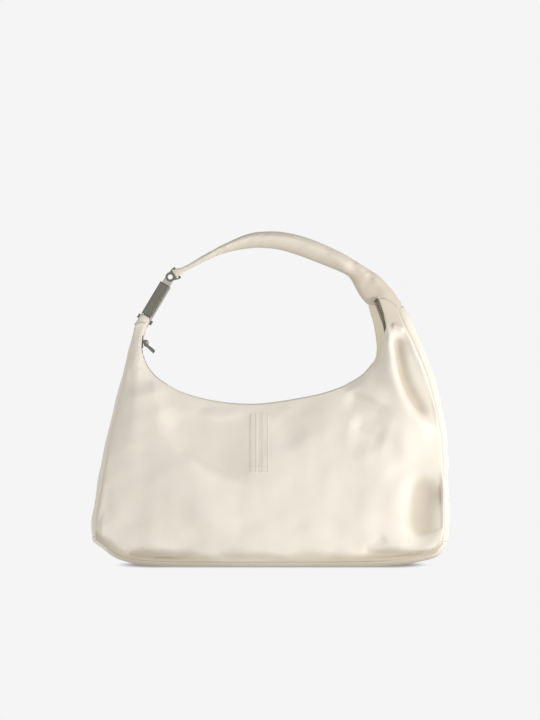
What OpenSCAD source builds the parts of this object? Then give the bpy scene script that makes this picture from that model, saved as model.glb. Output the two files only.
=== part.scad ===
// Hobo shoulder bag: soft leather body with a zipped mouth, a base gusset, and one
// shoulder strap that ends in a side-release metal buckle.
// Frame: +Z up, the front panel faces -Y, origin at the middle of the footprint.

/* [Body] */
// Width of the front panel along its bottom seam
base_w = 392; // [376:4:408]
// Depth of the bag at its bottom seams
base_d = 104; // [90:2:112]
// Height of the lowest point of the mouth
mouth_h = 178; // [168:2:182]
// Depth of the bag where the zip is sewn in
mouth_d = 26; // [26:1:32]
// Thickness of the leather
leather_t = 1.8; // [1.2:0.1:2.2]
// Thickness of the fabric lining
lining_t = 0.8; // [0.5:0.1:1.2]

/* [Zip] */
// Width of the closed row of teeth
teeth_w = 6; // [5:0.5:7]
// Thickness of the row of teeth
teeth_t = 2.4; // [2:0.1:2.6]
// Length of the main slider
slider_l = 15; // [13:1:16]
// Width of the main slider
slider_w = 11; // [10:0.5:12]

/* [Buckle] */
// Length of the buckle housing
housing_l = 41; // [38:1:46]
// Width of the buckle housing
housing_w = 13.6; // [13:0.2:15]
// Thickness of the buckle housing without its cover
housing_t = 6; // [5.6:0.2:7]
// Radius of the round hole through the hollow rivet
eye_r = 2.8; // [2.2:0.1:3]

/* [Pocket] */
// Length of the inner pocket's zip
pocket_zip_l = 150; // [120:5:160]
// Depth of the inner pocket's pouch, as a share of the panel's height
pocket_share = 0.45; // [0.3:0.05:0.5]

/* [Hidden] */
$fn = 48;

leather = [0.87, 0.84, 0.78];
fabric = [0.72, 0.70, 0.65];
steel = [0.62, 0.61, 0.58];
dark_steel = [0.35, 0.34, 0.32];
gap = 0.1;               // clearance between pieces that only touch

// ---- Mouth of the bag: three tangent arcs in the XZ plane --------------------------
mouth_r = 230.5;         // long shallow arc along the top
left_corner_r = 52;      // tight arc at the buckle end
right_corner_r = 50;     // tight arc at the strap root
left_meet = 244;         // direction in which the left corner meets the long arc
right_meet = 298;        // direction in which the right corner meets the long arc
zip_from = 168;          // first tooth, on the left corner arc
zip_to = 368;            // last tooth, on the right corner arc
mouth_c = [-17, mouth_h + mouth_r];
function polar(c, r, a) = c + r * [cos(a), sin(a)];
left_c = polar(mouth_c, mouth_r - left_corner_r, left_meet);
right_c = polar(mouth_c, mouth_r - right_corner_r, right_meet);
function arc(c, r, a, b, n) = [for (i = [0 : n - 1]) polar(c, r, a + (b - a) * i / n)];

// Horn tips: the left one takes the chape, and the strap is sewn to the right one.
left_tip = [-157, 260.5];
right_tip = [146, 286];
right_horn = [[115, 266], [112.5, 275], [107, 282], [126, 284]];
top_edge = concat(
    [left_tip, left_tip + [10, 0]],
    arc(left_c, left_corner_r, zip_from, left_meet, 8),
    arc(mouth_c, mouth_r, left_meet, right_meet, 12),
    arc(right_c, right_corner_r, right_meet, zip_to, 7),
    right_horn, [right_tip]);

// ---- Panels: a ruled sheet from the bottom seam to the top edge, with belly ---------
base_left = [-base_w / 2 - 2.5, 26];
base_right = [base_w / 2 - 2.5, 16];
seam_z = 5;              // height of the bottom seams above the base
seam_inset = 1.5;        // how far the gusset starts inside the panel edge
left_bow = 9;            // how far the side seams bow out
right_bow = 22;
belly = 9;
corner_share = 0.1;      // share of the bottom seam that lifts towards each corner
function mix(a, b, t) = a + (b - a) * t;
function along(pts, u) = let (k = min(max(u, 0), 1) * (len(pts) - 1), i = min(floor(k), len(pts) - 2))
    mix(pts[i], pts[i + 1], k - i);
function lift(u) = pow(max(0, 1 - u / corner_share), 2) * (base_left[1] - seam_z)
    + pow(max(0, 1 - (1 - u) / corner_share), 2) * (base_right[1] - seam_z);
function bottom(u) = [mix(base_left[0], base_right[0], u), seam_z + lift(u)];
function bow(u, v) = sin(180 * v) * (right_bow * pow(max(0, (u - 0.6) / 0.4), 2)
    - left_bow * pow(max(0, (0.35 - u) / 0.35), 2));
function half_depth(u, v) = mix(
    11 + (base_d / 2 - 17) * pow(1 - v, 1.3),
    mouth_d / 2 + (base_d / 2 - mouth_d / 2) * (1 - pow(v, 1.6)) + belly * sin(180 * v),
    1 - pow(abs(2 * u - 1), 3));
// Point on the outer face of a panel, moved inwards by inset; side is -1 front, 1 back.
function panel_point(u, v, side, inset) = let (
        p = mix(bottom(u), along(top_edge, u), v), d = half_depth(u, v) - inset)
    [p[0] + bow(u, v), side * d, p[1]];

// Closed solid between two grids of points with the same rows and columns.
module sheet(outer, inner) {
    rows = len(outer);
    cols = len(outer[0]);
    n = rows * cols;
    pts = concat([for (r = outer) for (p = r) p], [for (r = inner) for (p = r) p]);
    function at(r, c) = r * cols + c;
    rim = concat([for (c = [0 : cols - 2]) [at(0, c), at(0, c + 1)]],
        [for (r = [0 : rows - 2]) [at(r, cols - 1), at(r + 1, cols - 1)]],
        [for (c = [cols - 1 : -1 : 1]) [at(rows - 1, c), at(rows - 1, c - 1)]],
        [for (r = [rows - 1 : -1 : 1]) [at(r, 0), at(r - 1, 0)]]);
    faces = concat(
        [for (r = [0 : rows - 2]) for (c = [0 : cols - 2]) for (half = [0, 1])
            half ? [at(r, c), at(r + 1, c + 1), at(r, c + 1)]
                 : [at(r, c), at(r + 1, c), at(r + 1, c + 1)]],
        [for (r = [0 : rows - 2]) for (c = [0 : cols - 2]) for (half = [0, 1])
            half ? [n + at(r, c), n + at(r, c + 1), n + at(r + 1, c + 1)]
                 : [n + at(r, c), n + at(r + 1, c + 1), n + at(r + 1, c)]],
        [for (e = rim) for (half = [0, 1])
            half ? [e[0], e[1], n + e[1]] : [e[0], n + e[1], n + e[0]]]);
    polyhedron(pts, faces, convexity = 8);
}

module panel(side, inset, t, us, vs) {
    outer = [for (v = vs) [for (u = us) panel_point(u, v, side, inset)]];
    inner = [for (v = vs) [for (u = us) panel_point(u, v, side, inset + t)]];
    if (side < 0) sheet(inner, outer);
    else sheet(outer, inner);
}

columns = [for (i = [0 : len(top_edge) - 1]) i / (len(top_edge) - 1)];
rows = [for (i = [0 : 9]) i / 9];
lining_columns = [for (i = [1 : len(columns) - 2]) columns[i]];
lining_rows = [for (i = [0 : 7]) mix(0.05, 0.9, i / 7)];

module front_panel() { color(leather) panel(-1, 0, leather_t, columns, rows); }
module back_panel() { color(leather) panel(1, 0, leather_t, columns, rows); }
front_lining_inset = leather_t + 1.1;
back_lining_inset = leather_t + 3.4;
module front_lining() { color(fabric) panel(-1, front_lining_inset, lining_t, lining_columns, lining_rows); }
module back_lining() { color(fabric) panel(1, back_lining_inset, lining_t, lining_columns, lining_rows); }

// Narrow stitched pleat below the middle of the mouth
pleat_t = 0.8;
pleat_columns = [0.436, 0.448, 0.461, 0.474, 0.486];
pleat_rows = [for (i = [0 : 6]) mix(0.58, 0.95, i / 6)];
module pleat(side) { color(leather) panel(side, -pleat_t - 0.02, pleat_t, pleat_columns, pleat_rows); }
module front_pleat() { pleat(-1); }
module back_pleat() { pleat(1); }

// ---- Gusset: one strip round the panel's outline, in three lengths -----------------
side_rows = 10;
function outline(t) =      // t from 0 at the left tip, 1 and 2 at the corners, 3 at the right tip
    t <= 1 ? panel_point(0, 1 - t, 1, 0)
    : t <= 2 ? panel_point(t - 1, 0, 1, 0)
    : panel_point(1, t - 2, 1, 0);
function outward(t) = let (a = outline(max(0, t - 0.02)), b = outline(min(3, t + 0.02)),
        d = [b[0] - a[0], b[2] - a[2]])
    [-d[1], d[0]] / norm(d) * -1;
side_bulge = 6;
function bulge(t) = t > 1 && t < 2 ? seam_z : mix(2, side_bulge, sin(180 * (t > 1.5 ? t - 2 : t)));
function strip_point(t, c, inset, short = 0) = let (p = outline(t), n = outward(t),
        out = bulge(t) * min(1, 1.15 * (1 - pow(c, 4))) - inset)
    [p[0] + n[0] * out, c * (p[1] - leather_t - gap - short), p[2] + n[1] * out];
strip_steps = [for (i = [-6 : 6]) i / 6];
module strip(t0, t1, n, inset, t, short = 0) {
    ts = [for (i = [0 : n]) mix(t0, t1, i / n)];
    outer = [for (q = ts) [for (c = strip_steps) strip_point(q, c, inset, short)]];
    inner = [for (q = ts) [for (c = strip_steps) strip_point(q, c, inset + t, short)]];
    sheet(inner, outer);
}
corner_cut = 0.03;       // where the side gussets meet the base, past each corner
module left_gusset() { color(leather) strip(0, 1 - corner_cut, side_rows, 0, leather_t); }
module base_panel() { color(leather) strip(1 - corner_cut, 2 + corner_cut, 30, 0, leather_t); }
module right_gusset() { color(leather) strip(2 + corner_cut, 3, side_rows, 0, leather_t); }
gusset_lining_inset = leather_t + 3.2;
module gusset_lining() { color(fabric) strip(0.15, 2.85, 44, gusset_lining_inset, lining_t, 1); }

// Board that keeps the base flat, between the base leather and the lining
board_w = 300;
board_d = 48;
board_t = 2;
module base_stiffener() {
    color("dimgray") translate([0, 0, leather_t + gap]) linear_extrude(board_t)
        offset(12) square([board_w - 24, board_d - 24], center = true);
}

// Solid between two arcs round a centre in the XZ plane, from y0 to y1
module sector(c, r0, r1, a0, a1, y0, y1) {
    translate([c[0], 0, c[1]]) rotate([90, 0, 0]) rotate([0, 0, a0])
        rotate_extrude(angle = a1 - a0, $fn = 96) translate([r0, -y1]) square([r1 - r0, y1 - y0]);
}

// ---- Soft pads that close the two horns, each hollowed for the piece that swings there
swing_left = [-147, 267.5];
swing_right = [128, 296];
swing_tilt = atan2(swing_right[1] - swing_left[1], swing_right[0] - swing_left[0]);
knuckle_r = 5;
root_r = 11;
module left_root_pad() {
    color(leather) difference() {
        translate([-154.6, -8, 250]) cube([4, 16, 10.5]);
        translate([swing_left[0], 0, swing_left[1]]) sphere(r = knuckle_r + 1.6, $fn = 24);
    }
}
module right_root_pad() {
    color(leather) difference() {
        translate([118, -8, 271]) cube([22, 16, 14.5]);
        translate([swing_right[0], 0, swing_right[1]]) rotate([0, 90 - swing_tilt, 0])
            cylinder(h = 80, r = root_r + 0.4, center = true);
    }
}

// ---- Zip: tapes and toothed rows along the mouth -----------------------------------
// Each station is [centre, radius, direction].
tooth_pitch = 4;
function arc_stations(c, r, a, b, step) = let (n = ceil(abs(b - a) * PI / 180 * r / step))
    [for (i = [0 : n - 1]) [c, r, a + (b - a) * i / n]];
function zip_stations(step, from = zip_from, to = zip_to) = concat(
    arc_stations(left_c, left_corner_r, from, left_meet, step),
    arc_stations(mouth_c, mouth_r, left_meet, right_meet, step),
    arc_stations(right_c, right_corner_r, right_meet, to, step),
    [[right_c, right_corner_r, to]]);
// h is how far below the row's middle a point lies
function zip_point(s, y, h) = let (p = polar(s[0], s[1] + h, s[2])) [p[0], y, p[1]];
module zip_strip(stations, y0, y1, h0s, h1s) {
    low = [for (i = [0 : len(stations) - 1]) [for (y = [y0, y1]) zip_point(stations[i], y, h1s[i])]];
    high = [for (i = [0 : len(stations) - 1]) [for (y = [y0, y1]) zip_point(stations[i], y, h0s[i])]];
    sheet(low, high);
}
tape_t = 0.6;
row_gap = 0.35;
tape_edge = mouth_d / 2 - leather_t - 0.3;
module zip_tape(side) {
    st = zip_stations(9);
    h = [for (s = st) tape_t / 2];
    color("dimgray") zip_strip(st, min(side * (teeth_w / 2 + 0.05), side * tape_edge),
        max(side * (teeth_w / 2 + 0.05), side * tape_edge), -h, h);
}
module zip_tape_front() { zip_tape(-1); }
module zip_tape_back() { zip_tape(1); }
// Each tooth takes four stations, so a side's row is one castellated bar.
function tooth_stations(c, r, a, b) = let (n = round((b - a) * PI / 180 * r / tooth_pitch), w = (b - a) / n)
    [for (i = [0 : n - 1]) for (k = [0, 0.52, 0.54, 0.98]) [c, r, a + (i + k) * w]];
module zip_teeth(side) {
    st = concat(tooth_stations(left_c, left_corner_r, zip_from, left_meet),
        tooth_stations(mouth_c, mouth_r, left_meet, right_meet),
        tooth_stations(right_c, right_corner_r, right_meet, zip_to));
    h = [for (i = [0 : len(st) - 1]) (i % 4 < 2 ? teeth_t : teeth_t * 0.5) / 2];
    color(dark_steel) zip_strip(st, min(side * row_gap, side * teeth_w / 2),
        max(side * row_gap, side * teeth_w / 2), -h, h);
}
module zip_teeth_front() { zip_teeth(-1); }
module zip_teeth_back() { zip_teeth(1); }
module zip_left_stop() {
    color(steel) sector(left_c, left_corner_r - 1.2, left_corner_r + 1.2, zip_from - 2.4, zip_from - 0.4, -3, 3);
}
module zip_right_stop() {
    color(steel) sector(right_c, right_corner_r - 1.5, right_corner_r + 1.5, zip_to + 0.6, zip_to + 3.6, -3, 3);
}

// ---- Main slider, its ring and its pull --------------------------------------------
slider_at = 178;
slider_half = slider_l / 2 / left_corner_r * 57.3;
plate_t = 1.2;
plate_gap = teeth_t / 2 + 0.2;
crown_r = left_corner_r - 6;
crown_bar_r = 0.9;
ring_wire = 1.2;
ring_in = 1.5;
ring_len = 5.4;          // between the two end arcs' centres
crown = polar(left_c, crown_r, slider_at);
module zip_slider() {
    r = left_corner_r;
    color(dark_steel) {
        sector(left_c, r - plate_gap - plate_t, r - plate_gap, slider_at - slider_half,
            slider_at + slider_half, -slider_w / 2, slider_w / 2);
        sector(left_c, r + plate_gap, r + plate_gap + plate_t, slider_at - slider_half,
            slider_at + slider_half, -slider_w / 2, slider_w / 2);
        sector(left_c, r - plate_gap - 0.3, r + plate_gap + 0.3, slider_at - slider_half,
            slider_at - slider_half + 6, -0.22, 0.22);
        for (side = [-1, 1])
            sector(left_c, crown_r - 0.6, r - plate_gap - plate_t + 0.3, slider_at - 2.6,
                slider_at + 2.6, side > 0 ? 2.1 : -3.2, side > 0 ? 3.2 : -2.1);
        translate([crown[0], 0, crown[1]]) rotate([90, 0, 0])
            cylinder(h = 6, r = crown_bar_r, center = true, $fn = 24);
    }
}
module oval(r, l) { hull() { circle(r, $fn = 32); translate([0, -l]) circle(r, $fn = 32); } }
ring_top = [crown[0], crown[1] - (ring_in - crown_bar_r - 0.1)];
module zip_ring() {
    color(steel) translate([ring_top[0], ring_wire / 2, ring_top[1]]) rotate([90, 0, 0])
        linear_extrude(ring_wire) difference() {
            oval(ring_in + ring_wire, ring_len - 2 * ring_in);
            oval(ring_in, ring_len - 2 * ring_in);
        }
}
pull_pin_r = 0.8;
pull_at = [ring_top[0], ring_top[1] - (ring_len - 2 * ring_in) - (ring_in - pull_pin_r - 0.1)];
pull_len = 12.5;
pull_lean = 50;
module zip_pull() {
    color(steel) translate([pull_at[0], 0, pull_at[1]]) rotate([0, -pull_lean, 0])
        rotate([90, 0, 0]) {
            cylinder(h = 3.8, r = pull_pin_r, center = true, $fn = 24);
            for (z = [-1.9, 0.9]) translate([0, 0, z]) linear_extrude(1)
                union() { circle(1.8, $fn = 24); translate([-1.6, -5]) square([3.2, 5]); }
            translate([0, 0, -1.9]) linear_extrude(3.8)
                polygon([[-1.6, -4], [1.6, -4], [2.1, -pull_len + 2], [0.9, -pull_len], [-2.1, -pull_len]]);
        }
}

// ---- Inner pocket on the back lining ------------------------------------------------
pocket_y = 33;           // back face of the pocket's zip tape
pocket_z = 112;
pocket_x = -10;
module pocket_pouch() {
    color(fabric) panel(1, leather_t + 0.7, 0.6, [for (i = [0 : 8]) mix(0.28, 0.7, i / 8)],
        [for (i = [0 : 5]) mix(0.66 - pocket_share, 0.66, i / 5)]);
}
module pocket_zip_tape() {
    color("dimgray") translate([pocket_x - pocket_zip_l / 2 - 8, pocket_y - 0.8, pocket_z - 8])
        cube([pocket_zip_l + 16, 0.8, 16]);
}
module pocket_zip_teeth() {
    n = floor(pocket_zip_l / 5);
    step = pocket_zip_l / n;
    color(dark_steel) translate([pocket_x - pocket_zip_l / 2, pocket_y - 0.85, pocket_z - 2.5])
        linear_extrude(5) polygon(concat([[0, 0]],
            [for (i = [0 : n - 1]) each [[i * step, -1.5], [(i + 0.6) * step, -1.5],
                [(i + 0.6) * step, -0.8], [(i + 1) * step, -0.8]]], [[n * step, 0]]));
}
pocket_slider_x = pocket_x - pocket_zip_l / 2 + 7;
pocket_pin_y = pocket_y - 5;
module pocket_slider() {
    color(dark_steel) translate([pocket_slider_x, 0, pocket_z]) {
        translate([-6, pocket_y - 3.7, -4.5]) cube([12, 1.2, 9]);
        for (z = [-4.5, 2.8]) translate([-6, pocket_y - 3.7, z]) cube([12, 2.7, 1.7]);
        for (x = [-3, 1.8]) translate([x, pocket_pin_y - 1.1, -1.3]) cube([1.2, 2.6, 2.6]);
        translate([-2.6, pocket_pin_y, 0]) rotate([0, 90, 0]) cylinder(h = 5.2, r = 0.7, $fn = 24);
    }
}
module pocket_pull() {
    color(steel) translate([pocket_slider_x, pocket_pin_y, pocket_z]) rotate([0, 90, 0]) difference() {
        union() {
            cylinder(h = 3, r = 1.2, center = true, $fn = 24);
            translate([0, -0.6, -1.5]) cube([18, 1.2, 3]);
        }
        cylinder(h = 4, r = 0.78, center = true, $fn = 24);
    }
}

// ---- Buckle, in its own frame: x across, y along towards the strap, z to the front ----
buckle_lean = 31;
eye_at = 64;
housing_from = 13;
module on_buckle() {
    translate([swing_left[0], 0, swing_left[1]]) rotate([0, buckle_lean, 0]) rotate([90, 0, 0]) children();
}
half_w = housing_w / 2;
wall = 1.5;
back_z = -housing_t / 2 - 0.5;
front_z = back_z + housing_t;
bar_r = 1.2;
module chape_bar() {
    color(steel) on_buckle() rotate([0, 90, 0]) cylinder(h = 2 * half_w, r = bar_r, center = true);
}
module chape() {
    color(leather) on_buckle() difference() {
        union() {
            sphere(r = knuckle_r, $fn = 24);
            translate([0, 0, 0]) rotate([0, 90, 0]) linear_extrude(9.4, center = true)
                union() { circle(3); translate([-3, 0]) square([6, 5]); translate([0, 5]) circle(3); }
        }
        rotate([0, 90, 0]) cylinder(h = 20, r = bar_r + 0.05, center = true);
    }
}
lever_pin_at = [19, back_z - 1.7];
pin_r = 0.8;
module buckle_housing() {
    color(dark_steel) on_buckle() difference() {
        union() {
            translate([-half_w, housing_from + 2, back_z]) cube([2 * half_w, housing_l - 2, wall]);
            for (x = [-half_w, half_w - wall]) {
                translate([x, 0, back_z]) cube([wall, housing_from + housing_l, housing_t]);
                translate([x, 0, 0]) rotate([0, 90, 0]) linear_extrude(wall)
                    union() { circle(3); translate([-front_z, 0]) square([housing_t, 4]); }
            }
            for (x = [-5.9, 4.7]) translate([x, lever_pin_at[0] - 1.5, back_z - 3.2])
                cube([1.2, 3, 3.3]);
        }
        rotate([0, 90, 0]) cylinder(h = 30, r = bar_r, center = true);
        translate([0, lever_pin_at[0], lever_pin_at[1]]) rotate([0, 90, 0])
            cylinder(h = 30, r = pin_r, center = true);
        translate([-2.6, 25.5, back_z - 1]) cube([5.2, 6, wall + 2]);
    }
}
cover_w = housing_w - 1.8;
module buckle_cover() {
    color(steel) on_buckle() translate([-half_w, housing_from + 0.4, front_z + 0.02]) hull() {
        translate([1, 1, 0]) cube([cover_w - 2, housing_l - 2, 1.3]);
        cube([cover_w, housing_l, 0.8]);
    }
}
module lever_pin() {
    color(steel) on_buckle() translate([0, lever_pin_at[0], lever_pin_at[1]])
        rotate([0, 90, 0]) cylinder(h = 12.2, r = pin_r, center = true);
}
module release_lever() {
    z0 = lever_pin_at[1] - 1;      // the pad at the lever's far end presses on the tongue
    color(dark_steel) on_buckle() {
        difference() {
            union() {
                for (x = [-4.4, 1.9]) translate([x, lever_pin_at[0], lever_pin_at[1]])
                    rotate([0, 90, 0]) cylinder(h = 2.5, r = 1.5);
                for (x = [-4.4, 1.9]) translate([x, lever_pin_at[0] - 4, z0]) cube([2.5, 8, 1]);
                translate([-4.4, lever_pin_at[0] - 14, z0]) cube([8.8, 11, 1]);
                translate([-9.2, lever_pin_at[0] - 13, z0]) cube([18.4, 5, 1]);
                for (x = [-9.2, 7.9]) translate([x, lever_pin_at[0] - 13, z0]) cube([1.3, 5, 4]);
                translate([-4.4, lever_pin_at[0] + 3, z0]) cube([8.8, 8.6, 1]);
                translate([-2.2, lever_pin_at[0] + 8, z0 + 0.5]) cube([4.4, 3, 0.5 + 1.7 + wall + 0.15]);
            }
            translate([0, lever_pin_at[0], lever_pin_at[1]]) rotate([0, 90, 0])
                cylinder(h = 20, r = pin_r + 0.05, center = true);
        }
    }
}
module lever_spring() {
    color(steel) on_buckle() translate([0, lever_pin_at[0], lever_pin_at[1]]) rotate([0, 90, 0])
        rotate_extrude() polygon(concat([[0.9, -1.6], [0.9, 1.6]],
            [for (i = [0 : 4]) each [[1.6, 1.55 - 0.64 * i], [1.3, 1.25 - 0.64 * i]]]));
}
tongue_back = back_z + wall + 0.2;
tongue_t = 2.6;
module tongue() {
    color(steel) on_buckle() translate([0, 0, tongue_back]) linear_extrude(tongue_t) difference() {
        union() {
            translate([-half_w + wall + 0.2, 24]) square([2 * (half_w - wall - 0.2), eye_at - 27]);
            translate([-3.6, eye_at - 5]) square([7.2, 5]);
            translate([0, eye_at]) circle(5.4);
        }
        translate([0, eye_at]) circle(eye_r + 0.8);
    }
}
link_t = 0.9;
link_gap = 0.1;
link_front = tongue_back + tongue_t + link_gap;
link_back = tongue_back - link_gap - link_t;
module hollow_rivet() {
    color(steel) on_buckle() translate([0, eye_at, link_back - 0.9]) difference() {
        union() {
            cylinder(h = link_front - link_back + link_t + 1.8, r = eye_r + 0.74);
            cylinder(h = 0.8, r = eye_r + 1.6);
            translate([0, 0, link_front - link_back + link_t + 1]) cylinder(h = 0.8, r = eye_r + 1.6);
        }
        translate([0, 0, -1]) cylinder(h = 20, r = eye_r);
    }
}
link_turn = -28;         // the link points this far off the buckle's own axis
link_reach = 8.8;
cross_half = 7;
cross_r = 1.3;
module on_link() { on_buckle() translate([0, eye_at, 0]) rotate([0, 0, link_turn]) children(); }
module strap_link() {
    color(steel) on_link() {
        for (z = [link_back, link_front]) translate([0, 0, z]) linear_extrude(link_t) difference() {
            union() {
                circle(5.4);
                polygon([[-5, 1], [5, 1], [cross_half, link_reach - 2], [cross_half, link_reach + 1.3],
                    [-cross_half, link_reach + 1.3], [-cross_half, link_reach - 2]]);
            }
            circle(eye_r + 0.8);
            translate([-cross_half + 1.6, link_reach - 3.2]) square([2 * cross_half - 3.2, 10]);
        }
        for (x = [-cross_half, cross_half - 1.6]) translate([x, link_reach - 1.3, link_back])
            cube([1.6, 2.6, link_front - link_back + link_t]);
        translate([0, link_reach, (link_back + link_front + link_t) / 2]) rotate([0, 90, 0])
            cylinder(h = 2 * cross_half - 1, r = cross_r, center = true);
    }
}

// ---- Strap: one curve, with a section that narrows towards the buckle -----------------
eye_xz = swing_left + eye_at * [sin(buckle_lean), cos(buckle_lean)];
link_dir = [sin(buckle_lean - link_turn), cos(buckle_lean - link_turn)];
strap_from = eye_xz + link_reach * link_dir;
pull_in = 113.2;
pull_out = 92.3;
strap_start = 56;        // directions of the two ends of the strap's curve, from upright
strap_end = 44;
bez = [strap_from, strap_from + pull_in * [sin(strap_start), cos(strap_start)],
    swing_right + pull_out * [-sin(strap_end), cos(strap_end)], swing_right];
function curve(t) = pow(1 - t, 3) * bez[0] + 3 * t * pow(1 - t, 2) * bez[1]
    + 3 * t * t * (1 - t) * bez[2] + pow(t, 3) * bez[3];
function heading(t) = let (d = 3 * pow(1 - t, 2) * (bez[1] - bez[0]) + 6 * t * (1 - t) * (bez[2] - bez[1])
    + 3 * t * t * (bez[3] - bez[2])) d / norm(d);
function ease(a, b, t) = let (k = min(max((t - a) / (b - a), 0), 1)) k * k * (3 - 2 * k);
function strap_high(t) = 4.1 + 6 * ease(0.12, 0.4, t) + 3.2 * ease(0.6, 1, t);
function strap_deep(t) = mix(cross_half - 1.8, 12, ease(0.0, 0.3, t)) - 1 * ease(0.8, 1, t);
function squarish(a, n) = sign(cos(a)) * pow(abs(cos(a)), n);
module strap_length(t0, t1, n) {
    sides = 20;
    rings = [for (i = [0 : n]) let (t = mix(t0, t1, i / n), p = curve(t), d = heading(t))
        [for (k = [0 : sides - 1]) let (a = 360 * k / sides,
                h = strap_high(t) * squarish(a, 0.75), y = strap_deep(t) * squarish(a - 90, 0.75))
            [p[0] - d[1] * h, y, p[1] + d[0] * h]]];
    pts = [for (r = rings) for (p = r) p];
    polyhedron(pts, concat(
        [[for (k = [sides - 1 : -1 : 0]) k]],
        [for (i = [0 : n - 1]) for (k = [0 : sides - 1]) let (q = (k + 1) % sides)
            each [[i * sides + k, i * sides + q, (i + 1) * sides + k],
                [i * sides + q, (i + 1) * sides + q, (i + 1) * sides + k]]],
        [[for (k = [0 : sides - 1]) n * sides + k]]), convexity = 6);
}
tab_to = 0.0405;
tab_w = 8.4;
taper_to = 0.17;
module strap_end_tab() {
    color(leather) on_link() translate([0, link_reach, (link_back + link_front + link_t) / 2])
        difference() {
            union() {
                rotate([0, 90, 0]) cylinder(h = tab_w, r = 3, center = true);
                translate([-tab_w / 2, 0, -3]) cube([tab_w, 13, 6]);
            }
            rotate([0, 90, 0]) cylinder(h = 30, r = cross_r + 0.05, center = true);
        }
}
module strap_taper() { color(leather) strap_length(tab_to, taper_to, 6); }
module strap() {
    color(leather) {
        strap_length(taper_to, 0.995, 26);
        translate([swing_right[0], 0, swing_right[1]]) rotate([0, 90 - swing_tilt, 0])
            cylinder(h = 2 * strap_high(1) - 2, r = root_r, center = true);
    }
}

front_panel();
back_panel();
left_gusset();
right_gusset();
base_panel();
base_stiffener();
front_lining();
back_lining();
gusset_lining();
front_pleat();
back_pleat();
left_root_pad();
right_root_pad();
zip_tape_front();
zip_tape_back();
zip_teeth_front();
zip_teeth_back();
zip_left_stop();
zip_right_stop();
zip_slider();
zip_ring();
zip_pull();
pocket_pouch();
pocket_zip_tape();
pocket_zip_teeth();
pocket_slider();
pocket_pull();
chape();
chape_bar();
buckle_housing();
buckle_cover();
lever_pin();
release_lever();
lever_spring();
tongue();
hollow_rivet();
strap_link();
strap_end_tab();
strap_taper();
strap();
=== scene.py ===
"""Leather hobo bag on a pale floor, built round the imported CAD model."""
import math
import bmesh
import bpy
import numpy as np
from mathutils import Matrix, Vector


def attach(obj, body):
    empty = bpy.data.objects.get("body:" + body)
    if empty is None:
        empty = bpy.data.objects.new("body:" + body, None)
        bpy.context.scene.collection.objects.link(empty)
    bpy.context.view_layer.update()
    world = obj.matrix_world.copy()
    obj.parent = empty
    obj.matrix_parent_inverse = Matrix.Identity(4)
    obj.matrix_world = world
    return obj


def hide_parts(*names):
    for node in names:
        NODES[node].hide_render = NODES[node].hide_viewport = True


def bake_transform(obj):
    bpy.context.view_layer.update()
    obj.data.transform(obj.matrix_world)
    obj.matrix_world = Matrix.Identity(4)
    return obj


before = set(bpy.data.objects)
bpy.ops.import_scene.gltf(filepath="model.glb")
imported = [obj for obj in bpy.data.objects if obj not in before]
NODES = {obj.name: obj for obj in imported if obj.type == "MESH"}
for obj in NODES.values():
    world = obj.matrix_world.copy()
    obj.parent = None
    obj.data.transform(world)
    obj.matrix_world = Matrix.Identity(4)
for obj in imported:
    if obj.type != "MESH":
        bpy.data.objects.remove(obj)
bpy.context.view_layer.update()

MM = 0.001


# ---- Curves and small helpers (all shapes are worked out in millimetres) ----

def ease(a, b, t):
    k = np.clip((np.asarray(t, float) - a) / (b - a), 0, 1)
    return k * k * (3 - 2 * k)


def smooth_curve(points, fine=24):
    """A dense polyline along a Catmull-Rom curve through the points."""
    p = np.array(points, float)
    ext = np.vstack([2 * p[0] - p[1], p, 2 * p[-1] - p[-2]])
    t = np.linspace(0, 1, fine, endpoint=False)[:, None]
    out = []
    for i in range(len(p) - 1):
        a, b, c, d = ext[i:i + 4]
        out.append(0.5 * (2 * b + (c - a) * t + (2 * a - 5 * b + 4 * c - d) * t ** 2
                          + (3 * b - a - 3 * c + d) * t ** 3))
    out.append(p[-1:])
    return np.vstack(out)


def joined(*parts):
    return np.vstack([parts[0]] + [p[1:] for p in parts[1:]])


def lengths(curve):
    step = np.linalg.norm(np.diff(curve, axis=0), axis=1)
    return np.concatenate([[0], np.cumsum(step)])


def at(curve, f):
    """Points at the given shares of the curve's length."""
    s = lengths(curve)
    return np.stack([np.interp(np.asarray(f) * s[-1], s, curve[:, k]) for k in range(curve.shape[1])], -1)


def arc(centre, radius, a, b, n=24):
    t = np.radians(np.linspace(a, b, n))
    return np.stack([centre[0] + radius * np.cos(t), centre[1] + radius * np.sin(t)], -1)


def near_path(xz, path, fine=10):
    """Signed distance of each point from the path (positive on its left) and how far along it is."""
    q = smooth_curve(path, fine)
    s = lengths(q)
    flat = xz.reshape(-1, 2)
    best = np.full(len(flat), 1e9)
    signed = np.zeros(len(flat))
    share = np.zeros(len(flat))
    for i in range(len(q) - 1):
        d = q[i + 1] - q[i]
        n = max(np.hypot(*d), 1e-9)
        rel = flat - q[i]
        t = np.clip(rel @ d / n ** 2, 0, 1)
        off = rel - t[:, None] * d
        dist = np.hypot(off[:, 0], off[:, 1])
        hit = dist < best
        side = np.sign(d[0] * rel[:, 1] - d[1] * rel[:, 0])
        best = np.where(hit, dist, best)
        signed = np.where(hit, dist * side, signed)
        share = np.where(hit, (s[i] + t * n) / s[-1], share)
    return signed.reshape(xz.shape[:-1]), share.reshape(xz.shape[:-1])


def fold(xz, path, height, left, right, start=0.25, end=0.25):
    """A soft ridge along a path, with its own width on each side; it fades in and out at its ends."""
    d, s = near_path(xz, path)
    side = np.where(d > 0, left, right)
    fade = ease(0, start, s) * ease(0, end, 1 - s)
    return height * fade * np.exp(-(d / side) ** 2)


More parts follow.
